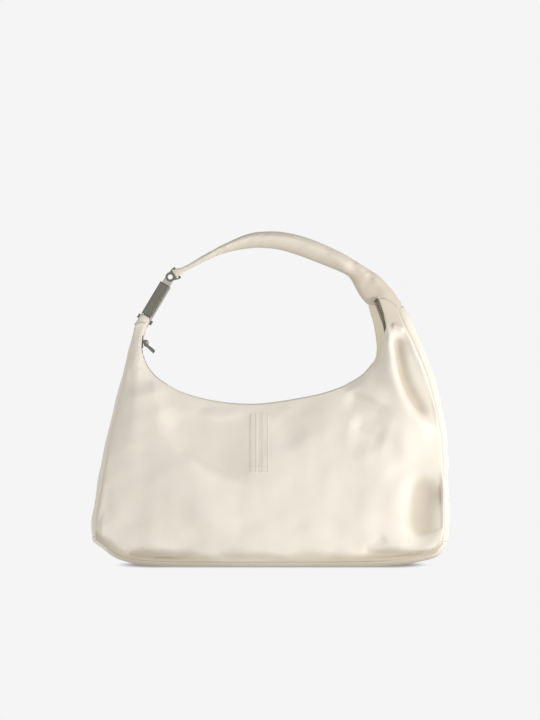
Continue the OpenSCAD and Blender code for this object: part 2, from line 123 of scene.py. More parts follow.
def waves(xz, size, seed, count=26):
    """Smooth random waves of about one size, from a fixed seed."""
    rng = np.random.default_rng(seed)
    total = np.zeros(xz.shape[:-1])
    for _ in range(count):
        a = rng.uniform(0, 2 * math.pi)
        k = 2 * math.pi / (size * rng.uniform(0.7, 1.6))
        total += np.sin(k * (xz[..., 0] * math.cos(a) + xz[..., 1] * math.sin(a)) + rng.uniform(0, 6.3))
    return total / math.sqrt(count / 2)


def unit(vectors):
    return vectors / np.linalg.norm(vectors, axis=-1, keepdims=True)


def squarish(wave, power):
    """A sine or cosine made squarer by a power below 1."""
    return np.sign(wave) * np.abs(wave) ** power


def link(obj):
    bpy.context.scene.collection.objects.link(obj)
    return obj


def smooth(mesh):
    mesh.polygons.foreach_set("use_smooth", np.ones(len(mesh.polygons), bool))


def grid_mesh(name, points, uv=None, closed_rows=False, closed_cols=False):
    """A mesh from a grid of points in millimetres, with its UVs in millimetres too."""
    rows, cols = points.shape[:2]
    faces = []
    for r in range(rows - 1 + closed_rows):
        for c in range(cols - 1 + closed_cols):
            r2, c2 = (r + 1) % rows, (c + 1) % cols
            faces.append((r * cols + c, r * cols + c2, r2 * cols + c2, r2 * cols + c))
    mesh = bpy.data.meshes.new(name)
    mesh.from_pydata((points.reshape(-1, 3) * MM).tolist(), [], faces)
    if uv is not None:
        layer = mesh.uv_layers.new(name="UVMap")
        flat = uv.reshape(-1, 2)
        index = np.zeros(len(mesh.loops), int)
        mesh.loops.foreach_get("vertex_index", index)
        layer.data.foreach_set("uv", flat[index].astype(np.float32).ravel())
    smooth(mesh)
    mesh.update()
    return link(bpy.data.objects.new(name, mesh))


def apply_modifiers(obj):
    depsgraph = bpy.context.evaluated_depsgraph_get()
    done = bpy.data.meshes.new_from_object(obj.evaluated_get(depsgraph))
    obj.modifiers.clear()
    obj.data = done
    return obj


def thicken(obj, thickness, offset=-1, rim=True):
    m = obj.modifiers.new("thickness", "SOLIDIFY")
    m.thickness = thickness * MM
    m.offset = offset
    m.use_even_offset = False
    m.use_rim = rim
    return apply_modifiers(obj)


def finish_piece(obj, body, material, stands_for=()):
    obj.data.materials.clear()
    obj.data.materials.append(material)
    if stands_for:
        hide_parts(*stands_for)
    if body == "swing":
        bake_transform(obj)
    elif body:
        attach(obj, body)
    return obj


# ---- Materials ----

class Nodes:
    """Short names for building a node material."""

    def __init__(self, name):
        self.material = bpy.data.materials.new(name)
        self.material.use_nodes = True
        self.tree = self.material.node_tree
        self.shader = self.tree.nodes["Principled BSDF"]

    def add(self, kind, **values):
        node = self.tree.nodes.new(kind)
        for key, value in values.items():
            if key in node.inputs:
                node.inputs[key].default_value = value
            else:
                setattr(node, key, value)
        return node

    def wire(self, a, b):
        self.tree.links.new(a, b)

    def noise(self, vector, scale, detail=3.0, rough=0.5, distortion=0.0):
        n = self.add("ShaderNodeTexNoise", Scale=scale, Detail=detail, Roughness=rough, Distortion=distortion)
        self.wire(vector, n.inputs["Vector"])
        return n.outputs["Fac"]

    def ramp(self, fac, *stops):
        n = self.add("ShaderNodeValToRGB")
        elements = n.color_ramp.elements
        while len(elements) < len(stops):
            elements.new(0.5)
        for e, (pos, colour) in zip(elements, stops):
            e.position = pos
            e.color = (*colour, 1) if len(colour) == 3 else colour
        self.wire(fac, n.inputs["Fac"])
        return n.outputs["Color"]

    def mix(self, fac, a, b, mode="MIX"):
        n = self.add("ShaderNodeMix", data_type="RGBA", blend_type=mode)
        for socket, value in ((n.inputs["Factor"], fac), (n.inputs[6], a), (n.inputs[7], b)):
            if hasattr(value, "is_output"):
                self.wire(value, socket)
            elif isinstance(value, (int, float)):
                socket.default_value = value
            else:
                socket.default_value = (*value, 1)
        return n.outputs[2]

    def scaled(self, vector, scale):
        n = self.add("ShaderNodeMapping")
        n.inputs["Scale"].default_value = scale
        self.wire(vector, n.inputs["Vector"])
        return n.outputs["Vector"]

    def add_values(self, a, b, weight):
        n = self.add("ShaderNodeMath", operation="MULTIPLY_ADD")
        self.wire(b, n.inputs[0])
        n.inputs[1].default_value = weight
        self.wire(a, n.inputs[2])
        return n.outputs[0]

    def bump(self, height, strength, distance):
        n = self.add("ShaderNodeBump", Strength=strength, Distance=distance)
        self.wire(height, n.inputs["Height"])
        self.wire(n.outputs["Normal"], self.shader.inputs["Normal"])

    def set(self, **values):
        for key, value in values.items():
            socket = self.shader.inputs[key.replace("_", " ")]
            if hasattr(value, "is_output"):
                self.wire(value, socket)
            elif isinstance(value, tuple) and len(value) == 3:
                socket.default_value = (*value, 1)
            else:
                socket.default_value = value


def leather(name, base, deep, worn, shaded, grain=1.0):
    """Smooth calf leather: fine pebble grain, soft creases, faint stains. UVs are in millimetres.

    Where a mesh carries its painted-shade attribute, the leather's colour is painted darker, towards the
    shaded colour.
    """
    n = Nodes(name)
    uv = n.add("ShaderNodeUVMap", uv_map="UVMap").outputs["UV"]
    stain = n.noise(uv, 0.014, 4.0, 0.6, 0.4)
    patch = n.noise(uv, 0.05, 3.0, 0.6)
    colour = n.mix(n.ramp(stain, (0.35, (0, 0, 0)), (0.7, (1, 1, 1))), base, deep)
    colour = n.mix(n.ramp(patch, (0.5, (0, 0, 0)), (0.85, (0.55, 0.55, 0.55))), colour, worn)
    # Painted shade: this per-point attribute mixes the colour towards SHADED, standing in for shade in
    # creases, along seams, at low edges and under the strap.
    painted_shade = n.add("ShaderNodeAttribute", attribute_name="painted_shade").outputs["Fac"]
    n.set(Base_Color=n.mix(painted_shade, colour, shaded))
    pores = n.add("ShaderNodeTexVoronoi", feature="DISTANCE_TO_EDGE", Scale=1.1, Randomness=1.0)
    n.wire(uv, pores.inputs["Vector"])
    pebble = n.ramp(pores.outputs["Distance"], (0.0, (0, 0, 0)), (0.22, (1, 1, 1)))
    fine = n.noise(uv, 2.2, 3.0, 0.6)
    crease = n.noise(n.scaled(uv, (0.12, 0.35, 1)), 1.0, 5.0, 0.62, 1.1)
    height = n.add_values(n.add_values(fine, pebble, 0.35), crease, 0.7)
    n.bump(height, 0.22 * grain, 0.0004)
    rough = n.ramp(n.noise(uv, 0.3, 3.0), (0.3, (0.52,) * 3), (0.75, (0.68,) * 3))
    n.set(Roughness=rough, IOR=1.45)
    n.set(Specular_IOR_Level=0.25)
    return n.material


def thread(name, colour):
    n = Nodes(name)
    uv = n.add("ShaderNodeTexCoord").outputs["Object"]
    twist = n.noise(n.scaled(uv, (2500, 2500, 600)), 1.0, 2.0)
    n.set(Base_Color=n.mix(twist, colour, tuple(0.8 * c for c in colour)), Roughness=0.8)
    n.bump(twist, 0.5, 0.0002)
    return n.material


def fabric(name, colour, shade, per_mm=2.2):
    """Woven cloth, from two crossed waves in object space."""
    n = Nodes(name)
    coord = n.add("ShaderNodeTexCoord").outputs["Object"]
    across = n.add("ShaderNodeTexWave", Scale=per_mm * 500, Distortion=0.6)
    along = n.add("ShaderNodeTexWave", Scale=per_mm * 500, Distortion=0.6, bands_direction="Z")
    for w in (across, along):
        n.wire(coord, w.inputs["Vector"])
    weave = n.add_values(across.outputs["Fac"], along.outputs["Fac"], 1.0)
    n.set(Base_Color=n.mix(n.noise(coord, 60, 3), colour, shade), Roughness=0.9)
    n.bump(weave, 0.4, 0.0003)
    return n.material


def metal(name, colour, rough, brushed=None, wear=0.3):
    """Metal with a fine finish; brushed gives the direction its lines run in."""
    n = Nodes(name)
    coord = n.add("ShaderNodeTexCoord").outputs["Object"]
    cloud = n.noise(coord, 180, 4.0, 0.6)
    n.set(Base_Color=n.mix(cloud, colour, tuple(c * (1 - wear * 0.5) for c in colour)), Metallic=1.0)
    if brushed is None:
        grain = n.noise(coord, 900, 3.0)
        n.set(Roughness=n.ramp(grain, (0.2, (rough * 0.7,) * 3), (0.8, (rough * 1.4,) * 3)))
        n.bump(grain, 0.04, 0.0002)
    else:
        turn = n.add("ShaderNodeMapping")
        turn.inputs["Rotation"].default_value = brushed
        turn.inputs["Scale"].default_value = (4000, 4000, 60)
        n.wire(coord, turn.inputs["Vector"])
        lines = n.noise(turn.outputs["Vector"], 1.0, 3.0, 0.7)
        n.set(Roughness=n.ramp(lines, (0.3, (rough * 0.75,) * 3), (0.7, (rough * 1.3,) * 3)))
        n.bump(lines, 0.25, 0.0001)
    return n.material


IVORY = (0.665, 0.614, 0.54)
IVORY_DEEP = (0.645, 0.59, 0.51)
IVORY_WORN = (0.68, 0.627, 0.555)
SHADED = (0.47, 0.41, 0.32)
LEATHER = leather("ivory_leather", IVORY, IVORY_DEEP, IVORY_WORN, SHADED)
LEATHER_SMOOTH = leather("ivory_strap_leather", IVORY, IVORY_DEEP, IVORY_WORN, SHADED, 0.3)
THREAD = thread("ivory_thread", (0.50, 0.455, 0.38))
LINING = fabric("lining_twill", (0.42, 0.37, 0.30), (0.36, 0.32, 0.26))
TAPE = fabric("zip_tape", (0.78, 0.69, 0.54), (0.73, 0.64, 0.49), 3.0)
BOARD = fabric("fibre_board", (0.10, 0.09, 0.08), (0.07, 0.065, 0.06))
LEAN = math.radians(31)
PLATE = metal("brushed_plate", (0.175, 0.162, 0.14), 0.36, brushed=(0, -LEAN, 0))
STEEL = metal("polished_steel", (0.34, 0.325, 0.29), 0.14)
DARK_STEEL = metal("dark_steel", (0.15, 0.14, 0.118), 0.24)
GUNMETAL = metal("gunmetal", (0.13, 0.12, 0.10), 0.28)


# ---- The bag's leather shell ----
# Outlines in the XZ plane as they look from the front; flatten() takes the nearness of the
# bulging leather out of them.

LENS = 120.0
FRAME_H = 0.8078
SENSOR = 36.0
EYE = np.array([-0.0022, -FRAME_H * LENS / SENSOR, 0.2292])


def flatten(xz, depth):
    centre = EYE[[0, 2]] / MM
    return centre + (xz - centre) * (1 + depth * MM / EYE[1])[..., None]


MOUTH_CENTRE = np.array([-17.0, 408.5])
MOUTH_R = 230.5
LEFT_R = 52.0
left_meet = np.radians(244)
LEFT_CENTRE = MOUTH_CENTRE + (MOUTH_R - LEFT_R) * np.array([math.cos(left_meet), math.sin(left_meet)])
LIP = 0.4
corner = arc(LEFT_CENTRE, LEFT_R - LIP, 168, 232)
mouth_low = joined(corner, smooth_curve([corner[-1], (-114, 199.5), (-103, 193.6), (-81, 186.6), (-58,
    182.2), (-36, 180),
                                         (-13.5, 180), (9, 182.6), (31.5, 186.4), (54, 191), (76, 198), (90,
                                         205),
                                         (99, 210.6), (105, 215.6), (111.5, 223)]))
MOUTH = {
    -1: joined(smooth_curve([(-141.5, 270.5), (-142.5, 265), mouth_low[0]]), mouth_low,
               smooth_curve([(111.5, 223), (117.5, 229), (121.2, 236), (124, 247), (126.4, 260), (129.2,
               270.5)]),
               smooth_curve([(129.2, 270.5), (124, 284), (118, 299.5)])),
    1: joined(smooth_curve([(-141.5, 270.5), (-142.5, 265), mouth_low[0]]), mouth_low,
              smooth_curve([(111.5, 223), (117.5, 231), (119.3, 241), (118.4, 256), (114.5, 273),
                            (111, 287), (108, 297)])),
}
TOP = {side: joined(smooth_curve([(-155, 265), (-151, 270), (-146, 272), (-141.5, 270.5)]), MOUTH[side],
                    smooth_curve([MOUTH[side][-1], (130, 297), (141.5, 287.5)]))
       for side in (-1, 1)}
BOTTOM = smooth_curve([(-198, 27), (-187, 19.5), (-175, 11), (-158, 6), (-138, 3.6), (-100, 2.4), (0, 1.8),
                       (100, 2.6), (146, 5.6), (170, 9.6), (184, 14), (191.5, 23)])
LEFT = smooth_curve([(-198, 27), (-198, 45), (-195.5, 62), (-189, 100), (-182.5, 140), (-175, 172),
                     (-167, 205), (-160.5, 235), (-156.5, 255), (-155, 265)])
RIGHT = smooth_curve([(191.5, 22), (193.5, 40), (194, 66), (192, 128), (187.5, 163), (176.5, 207),
                      (163.5, 240), (150, 268.5), (141.5, 287.5)])

BASE_D, MOUTH_D, BELLY = 104, 26, 9


def half_depth(u, v):
    full_right = ease(0.6, 1, u) * np.exp(-((v - 0.19) / 0.16) ** 2)
    edge = 11 + (BASE_D / 2 - 17) * (1 - v) ** 1.3 + 15 * full_right
    mid = MOUTH_D / 2 + (BASE_D - MOUTH_D) / 2 * (1 - v ** 1.6) + BELLY * np.sin(np.pi * v)
    return edge + (mid - edge) * (1 - np.abs(2 * u - 1) ** (3 + 5 * full_right))


def relax(grid, rounds):
    """Even out the inside of a grid of points; its border stays."""
    for _ in range(rounds):
        grid[1:-1, 1:-1] = (grid[:-2, 1:-1] + grid[2:, 1:-1] + grid[1:-1, :-2] + grid[1:-1, 2:]) / 4
    return grid


def resample(grid, v, u):
    rows, cols = grid.shape[:2]
    r, c = v * (rows - 1), u * (cols - 1)
    r0, c0 = np.minimum(r.astype(int), rows - 2), np.minimum(c.astype(int), cols - 2)
    fr, fc = (r - r0)[:, None, None], (c - c0)[None, :, None]
    top = grid[r0][:, c0] * (1 - fc) + grid[r0][:, c0 + 1] * fc
    low = grid[r0 + 1][:, c0] * (1 - fc) + grid[r0 + 1][:, c0 + 1] * fc
    return top * (1 - fr) + low * fr


def plain_panel(side):
    """The panel's shape without its folds, on an even grid: x, depth, z."""
    u, v = np.linspace(0, 1, 300), np.linspace(0, 1, 220)
    top, bottom, left, right = at(TOP[side], u), at(BOTTOM, u), at(LEFT, v), at(RIGHT, v)
    uu, vv = np.meshgrid(u, v)
    p = bottom[None] * (1 - vv[..., None]) + top[None] * vv[..., None]
    left_off = left - (np.outer(1 - v, BOTTOM[0]) + np.outer(v, TOP[side][0]))
    right_off = right - (np.outer(1 - v, BOTTOM[-1]) + np.outer(v, TOP[side][-1]))
    p += (np.clip(1 - uu / 0.3, 0, 1) ** 2)[..., None] * left_off[:, None]
    p += (np.clip((uu - 0.62) / 0.38, 0, 1) ** 2)[..., None] * right_off[:, None]
    depth = half_depth(uu, vv)
    p = flatten(p, depth)
    return relax(np.stack([p[..., 0], depth, p[..., 1]], -1), 130)


PLAIN = {side: plain_panel(side) for side in (-1, 1)}


def front_folds(p):
    f = np.zeros(p.shape[:-1])
    # The long fold that falls from the left corner of the mouth and turns in below the pleat
    ridge = [(-136, 210), (-128, 176), (-117, 149), (-104, 131), (-92, 120), (-75, 109), (-58, 101), (-38,
        94)]
    f += fold(p, ridge, 6.8, 10, 30, 0.12, 0.35)
    # The slack hollow inside that fold: steep under the ridge, easing out towards the pleat
    f -= fold(p, [(-122, 176), (-110, 154), (-96, 137), (-78, 123), (-56, 111), (-30, 102), (-6, 97)], 7.0,
        38, 8, 0.2, 0.45)
    f += fold(p, [(-108, 176), (-84, 170), (-56, 168), (-26, 170)], 1.6, 8, 6, 0.2, 0.3)
    # The deep groove below the strap's root: a sharp ridge, a steep drop and a long rise to the seam
    f += fold(p, [(130, 262), (132, 251), (134, 230), (139, 206), (147, 186), (158, 170), (171, 159), (185,
        152)], 4.5, 5, 14, 0.1, 0.2)
    f -= fold(p, [(135, 262), (137, 250), (140, 230), (145, 207), (154, 187), (166, 171), (180, 159), (187,
        154)], 8.5, 14, 4.8, 0.12, 0.3)
    f += fold(p, [(149, 265), (158, 246), (168, 222), (178, 198), (187, 172)], 2.2, 3, 5, 0.12, 0.2)
    f += fold(p, [(133, 268), (140, 266.5), (148, 263)], 3.0, 2.6, 3.2, 0.2, 0.2)
    # The soft step below the right corner of the mouth
    f += fold(p, [(76, 203), (98, 195), (116, 187), (134, 186)], 3.2, 15, 6, 0.25, 0.35)
    f -= fold(p, [(80, 192), (100, 183), (120, 174), (138, 168)], 3.4, 8, 14, 0.25, 0.35)
    # Dents and soft swells on the right half
    f -= fold(p, [(84, 158), (106, 151), (128, 141)], 3.4, 13, 15, 0.35, 0.3)
    f += fold(p, [(66, 184), (54, 160), (42, 136), (38, 110)], 1.7, 16, 15, 0.3, 0.35)
    f -= fold(p, [(4, 168), (14, 150), (22, 126)], 1.8, 13, 12, 0.35, 0.35)
    f += fold(p, [(88, 128), (112, 112), (136, 92)], 2.0, 20, 15, 0.35, 0.35)
    f += fold(p, [(140, 160), (146, 134), (146, 106)], 2.2, 14, 11, 0.35, 0.35)
    # The upright valley beside the right seam: it rises again, in shade, up to the seam
    f -= fold(p, [(178, 120), (170, 98), (165, 76), (164, 54), (168, 37), (177, 24)], 8.6, 20, 20, 0.4, 0.2)
    f += fold(p, [(150, 116), (143, 86), (141, 60), (146, 36)], 1.5, 14, 14, 0.35, 0.3)
    # The pinched corner at the bottom right: a ridge with a tuck below it
    f += fold(p, [(190, 21), (170, 24), (144, 26), (112, 30)], 3.6, 6, 15, 0.04, 0.4)
    f -= fold(p, [(178, 12), (158, 13.5), (135, 15), (108, 17), (84, 16)], 4.6, 5.5, 5, 0.2, 0.4)
    f -= fold(p, [(128, 34), (112, 27), (98, 17)], 2.2, 6, 5, 0.3, 0.3)
    # The roll along the bottom left
    f += fold(p, [(-197, 42), (-176, 33), (-154, 28), (-130, 25), (-104, 26)], 4.0, 15, 7, 0.05, 0.4)
    f -= fold(p, [(-172, 15), (-148, 14), (-126, 13), (-104, 15), (-84, 20)], 5.0, 6, 6, 0.2, 0.4)
    f += fold(p, [(-84, 24), (-50, 20), (-10, 19), (40, 18)], 1.8, 9, 6, 0.35, 0.4)
    f -= fold(p, [(-70, 11), (-30, 10), (20, 10)], 2.0, 6, 6, 0.3, 0.3)
    # Short creases where the left horn is pulled
    f += fold(p, [(-162, 234), (-154, 227), (-145, 223)], 1.0, 3, 2.6, 0.3, 0.3)
    f += fold(p, [(-165, 225), (-154, 218), (-142, 215)], 1.1, 3.4, 2.6, 0.3, 0.3)
    f -= fold(p, [(-167, 216), (-157, 209), (-144, 205)], 0.6, 4, 3.5, 0.3, 0.3)
    f += fold(p, [(-151, 262), (-153, 240), (-158, 216)], 1.4, 5, 6, 0.3, 0.3)
    # Long slack lines on the left half
    f += fold(p, [(-156, 204), (-158, 160), (-163, 120), (-166, 84)], 2.0, 16, 14, 0.3, 0.3)
    f -= fold(p, [(-142, 150), (-146, 118), (-140, 84), (-122, 60)], 1.6, 20, 24, 0.3, 0.3)
    f += fold(p, [(-110, 74), (-80, 62), (-40, 62), (0, 70)], 1.6, 18, 16, 0.35, 0.35)
    f -= fold(p, [(-186, 100), (-184, 72), (-178, 50)], 1.2, 8, 10, 0.35, 0.35)
    f -= fold(p, [(10, 116), (60, 92), (110, 74)], 1.2, 20, 22, 0.35, 0.35)
    return f


def back_folds(p):
    f = np.zeros(p.shape[:-1])
    f += fold(p, [(-138, 196), (-118, 160), (-98, 130), (-70, 112)], 4.4, 9, 22, 0.15, 0.3)
    f -= fold(p, [(-106, 166), (-84, 142), (-58, 128)], 3.0, 14, 9, 0.3, 0.3)
    f -= fold(p, [(126, 262), (136, 236), (148, 208), (162, 180), (176, 156)], 5.4, 8, 7, 0.12, 0.3)
    f += fold(p, [(118, 244), (128, 214), (142, 188), (156, 162)], 3.8, 7, 10, 0.15, 0.3)
    f += fold(p, [(60, 190), (86, 168), (112, 132), (124, 96)], 3.2, 12, 18, 0.3, 0.35)
    f -= fold(p, [(92, 186), (108, 158), (124, 128)], 2.6, 10, 12, 0.3, 0.3)
    f -= fold(p, [(172, 118), (165, 88), (166, 52), (172, 28)], 4.6, 10, 16, 0.3, 0.2)
    f += fold(p, [(190, 20), (160, 26), (126, 32)], 4.0, 12, 6, 0.05, 0.4)
    f -= fold(p, [(176, 11), (146, 13), (112, 15)], 3.6, 6, 6, 0.2, 0.4)
    f += fold(p, [(-192, 36), (-164, 26), (-132, 22), (-104, 26)], 3.4, 14, 7, 0.05, 0.4)
    f -= fold(p, [(-160, 12), (-130, 10), (-98, 15)], 3.4, 6, 6, 0.2, 0.4)
    f += fold(p, [(-160, 200), (-162, 150), (-168, 96)], 2.4, 16, 14, 0.3, 0.3)
    f -= fold(p, [(-40, 150), (-30, 110), (-44, 70)], 2.2, 20, 16, 0.35, 0.35)
    f += fold(p, [(14, 140), (26, 104), (20, 66)], 2.2, 14, 18, 0.35, 0.35)
    return f


def edge_distances(p):
    """How far each point of a grid lies from its left, right, bottom and top edges, along the grid."""
    along = np.cumsum(np.linalg.norm(np.diff(p, axis=1, prepend=p[:, :1]), axis=-1), axis=1)
    up = np.cumsum(np.linalg.norm(np.diff(p, axis=0, prepend=p[:1]), axis=-1), axis=0)
    return along, along[:, -1:] - along, up, up[-1:] - up


def rolled(distance, radius):
    """How far a rounded edge of that radius has dropped at a distance from it."""
    d = np.clip(distance / radius, 0, 1)
    return radius * (1 - np.sqrt(1 - (1 - d) ** 2))


def shares(n, tight=0.012, extra=7):
    middle = np.linspace(tight, 1 - tight, n)
    return np.concatenate([np.linspace(0, tight, extra, endpoint=False), middle,
                           1 - np.linspace(0, tight, extra, endpoint=False)[::-1]])


SEAM_R = 3.2
LEATHER_T = 1.6
PANEL_U, PANEL_V = shares(330), shares(230)


def panel_surface(side, u=PANEL_U, v=PANEL_V, folds=True, inset=0.0):
    """Points, UVs, and the painted shade: darker in the right hollows, along the seams, towards the bottom
    and on the right horn.
    """
    plain = resample(PLAIN[side], v, u)
    p, depth = plain[..., [0, 2]], plain[..., 1]
    left, right, down, up = edge_distances(p)
    painted_shade = np.zeros(depth.shape)
    if folds:
        near_seam = ease(0, 10, left) * ease(0, 5.5, right) * ease(0, 6, down) * ease(0, 12, up)
        f = (front_folds(p) if side < 0 else back_folds(p)) * near_seam
        depth = depth + f
        depth += (0.6 * waves(p, 62, 11 + side) + 0.2 * waves(p, 28, 21 + side)) * near_seam
        # Painted shade: the colour is darkened in the deep right-hand folds, towards the bottom (most at the
        # corners), along the side seams and on the right horn under the strap.
        corners = ease(30, 90, np.abs(p[..., 0] + 8))
        painted_shade = ease(2.4, 7.5, -f) * ease(30, 110, p[..., 0]) * 0.85
        painted_shade += (1 - ease(4, 16 + 3 * waves(p, 50, 8), down)) * (0.7 + 0.3 * corners)
        painted_shade += (1 - ease(1, 8, left)) * 0.25 + (1 - ease(0.6, 1.6, right)) * 0.6
        painted_shade += 0.7 * ease(258, 274, p[..., 1]) * ease(110, 120, p[..., 0])
        depth = depth - rolled(left, SEAM_R) - rolled(right, SEAM_R) - rolled(down, SEAM_R) - rolled(up,
            1.8) * 0.9
    depth = depth - inset
    points = np.stack([p[..., 0], side * depth, p[..., 1]], -1)
    uv = np.stack([left + 3 * side, down], -1)
    return points, uv, np.clip(painted_shade, 0, 1)


def tone(obj, painted_shade):
    """Store each point's painted shade, for the leather material."""
    layer = obj.data.attributes.new("painted_shade", "FLOAT", "POINT")
    layer.data.foreach_set("value", painted_shade.ravel().astype(np.float32))


SURFACE = {side: panel_surface(side) for side in (-1, 1)}
for side, name, node in ((-1, "leather_front", "front_panel"), (1, "leather_back", "back_panel")):
    points, uv, painted_shade = SURFACE[side]
    order = slice(None) if side < 0 else slice(None, None, -1)
    obj = grid_mesh(name, points[:, order], uv[:, order])
    tone(obj, painted_shade[:, order])
    thicken(obj, LEATHER_T)
    finish_piece(obj, "swing", LEATHER, [node])


# ---- Gussets and base: one strip round the panels' edges, in three lengths ----

def outline(side):
    """The panel's rolled edge from the left horn round the bottom to the right horn."""
    s = SURFACE[side][0]
    return joined(s[::-1, 0], s[0, :], s[:, -1])


EDGE = {side: outline(side) for side in (-1, 1)}
rows, cols = SURFACE[-1][0].shape[:2]
edge_len = lengths(EDGE[-1])
CORNER_L, CORNER_R = edge_len[rows - 1] / edge_len[-1], edge_len[rows + cols - 2] / edge_len[-1]


def bulge(t):
    side_l = np.interp(t / CORNER_L, [0, 0.15, 0.3, 0.5, 0.72, 0.9, 1], [0.3, 0.6, 1.4, 2.6, 5.2, 6.0, 5.0])
    side_r = np.interp((t - CORNER_R) / (1 - CORNER_R), [0, 0.1, 0.3, 0.5, 0.75, 0.9, 0.96, 1],
                       [6.5, 6.8, 5.2, 4.6, 5.4, 6.7, 7.5, 6.0])
    under = np.interp(t, [CORNER_L, CORNER_R], [5, 6.5]) + 2.6 * ease(0, 0.12, t - CORNER_L) * ease(0, 0.12,
        CORNER_R - t)
    return np.where(t < CORNER_L, side_l, np.where(t > CORNER_R, side_r, under))


def strip_surface(t0, t1, n, m=56, inset=0.0, creased=True):
    t = np.linspace(t0, t1, n)
    c = np.sin(np.linspace(-1, 1, m) * np.pi / 2)
    front, back = at(EDGE[-1], t), at(EDGE[1], t)
    soft = np.linspace(0, 1, 1201)
    path = at(EDGE[-1][:, [0, 2]], soft)
    kernel = np.hanning(41) / np.hanning(41).sum()
    tangent = np.gradient(path, axis=0)
    tangent = np.stack([np.convolve(np.pad(tangent[:, k], 20, mode="edge"), kernel, "valid") for k in (0,
        1)], -1)
    normal = unit(np.stack([tangent[:, 1], -tangent[:, 0]], -1))
    n_at = np.stack([np.interp(t, soft, normal[:, k]) for k in (0, 1)], -1)
    share = (c + 1) / 2
    base = front[:, None] * (1 - share[None, :, None]) + back[:, None] * share[None, :, None]
    profile = np.minimum(1, 1.12 * (1 - np.abs(c) ** 5)) ** 0.7
    out = bulge(t)[:, None] * profile[None]
    high = np.where(t < CORNER_L, 1 - t / CORNER_L, np.where(t > CORNER_R, (t - CORNER_R) / (1 - CORNER_R),
        0))
    if creased:
        pull = ease(0.05, 0.5, high) * (1 - ease(0.86, 1.0, high))
        centre, sides = np.exp(-(c[None] / 0.22) ** 2), np.exp(-((np.abs(c[None]) - 0.5) / 0.2) ** 2)
        out -= pull[:, None] * (4.5 * centre - 1.6 * sides)
        far = 300.0 * (t > 0.5)
        xy = np.stack([base[..., 1] + far[:, None], np.broadcast_to(t[:, None] * edge_len[-1],
            base.shape[:2])], -1)
        flat = ease(0.0, 0.12, high)[:, None]
        out += (0.35 * waves(xy, 46, 5) + 0.06 * waves(xy, 16, 6)) * (1 - np.abs(c[None]) ** 4) * flat
    out = out - inset
    points = base.copy()
    points[..., 0] += n_at[:, None, 0] * out
    points[..., 2] += n_at[:, None, 1] * out
    # The base rests flat along its middle and curves up to both seams.
    floor_line = np.where((high == 0)[:, None], 2.1 * np.clip((np.abs(c) - 0.5) / 0.5, 0, 1)[None] ** 1.3, 0)
    points[..., 2] = np.maximum(points[..., 2], inset + 0.02 + floor_line * (0.9 if creased else 1))
    uv = np.stack([np.broadcast_to(c * 46, out.shape), np.broadcast_to(t[:, None] * edge_len[-1],
        out.shape)], -1)
    # Painted shade: the strip is coloured darker towards the floor, most at the base's ends, and at the top
    # of the right gusset under the strap's root.
    painted_shade = np.clip(1 - points[..., 2] / 28, 0, 1) * (0.95 + 0.3 * ease(30, 90, np.abs(points[..., 0] + 8)))
    painted_shade += 0.5 * ease(264, 290, points[..., 2]) * ease(0, 40, points[..., 0])
    painted_shade = np.clip(painted_shade, 0, 1)
    return points, uv, painted_shade


# How far the base runs on past each lower corner, as a share of the whole strip
PAST = 0.006
BAG_MIDDLE = np.array([0.0, 0, 110])
STRIPS = (("leather_gusset_left", 0, CORNER_L - PAST, 150, "left_gusset"),
          ("leather_base", CORNER_L - PAST, CORNER_R + PAST, 320, "base_panel"),
          ("leather_gusset_right", CORNER_R + PAST, 1, 160, "right_gusset"))
for name, t0, t1, n, node in STRIPS:
    points, uv, painted_shade = strip_surface(t0, t1, n)
    # Each length ends in a rolled edge, so the cross seams show.
    step = (t1 - t0) / (n - 1) * edge_len[-1]
    first, last = np.arange(n) * step, np.arange(n)[::-1] * step
    from_end = {"left_gusset": last, "right_gusset": first, "base_panel": np.minimum(first, last)}[node]
    inwards = unit(BAG_MIDDLE - points.mean(axis=1, keepdims=True))
    points = points + inwards * (rolled(from_end, 1.4) * 0.45)[:, None, None]
    obj = grid_mesh(name, points, uv)
    tone(obj, painted_shade)
    thicken(obj, LEATHER_T)
    finish_piece(obj, "swing", LEATHER, [node])


# ---- Linings ----
for side, name, node in ((-1, "lining_front", "front_lining"), (1, "lining_back", "back_lining")):
    points, uv, _ = panel_surface(side, np.linspace(0.04, 0.96, 110), np.linspace(0.03, 0.93, 80), side < 0,
        7.0)
    obj = grid_mesh(name, points if side < 0 else points[:, ::-1], uv)
    finish_piece(obj, "bag", LINING, [node])
points, uv, _ = strip_surface(0.14, 0.86, 160, 30, 5.0, False)
finish_piece(grid_mesh("lining_gusset", points, uv), "bag", LINING, ["gusset_lining"])


# ---- Pleat below the mouth, and stitches ----

def on_panel(side, xz, lift):
    """Points on a panel's outer face, lifted off it by a little."""
    s = SURFACE[side][0]
    xz = np.atleast_2d(xz)
    middle = s[20:-6:2, 60:-60:2].reshape(-1, 3)
    out = []
    for q in xz:
        d = (middle[:, 0] - q[0]) ** 2 + (middle[:, 2] - q[1]) ** 2
        near = np.argpartition(d, 6)[:6]
        w = 1 / (d[near] + 0.05)
        out.append((q[0], (middle[near, 1] * w).sum() / w.sum() + side * lift, q[1]))
    return np.array(out)


STITCH_LEN, STITCH_PITCH = 2.3, 3.1


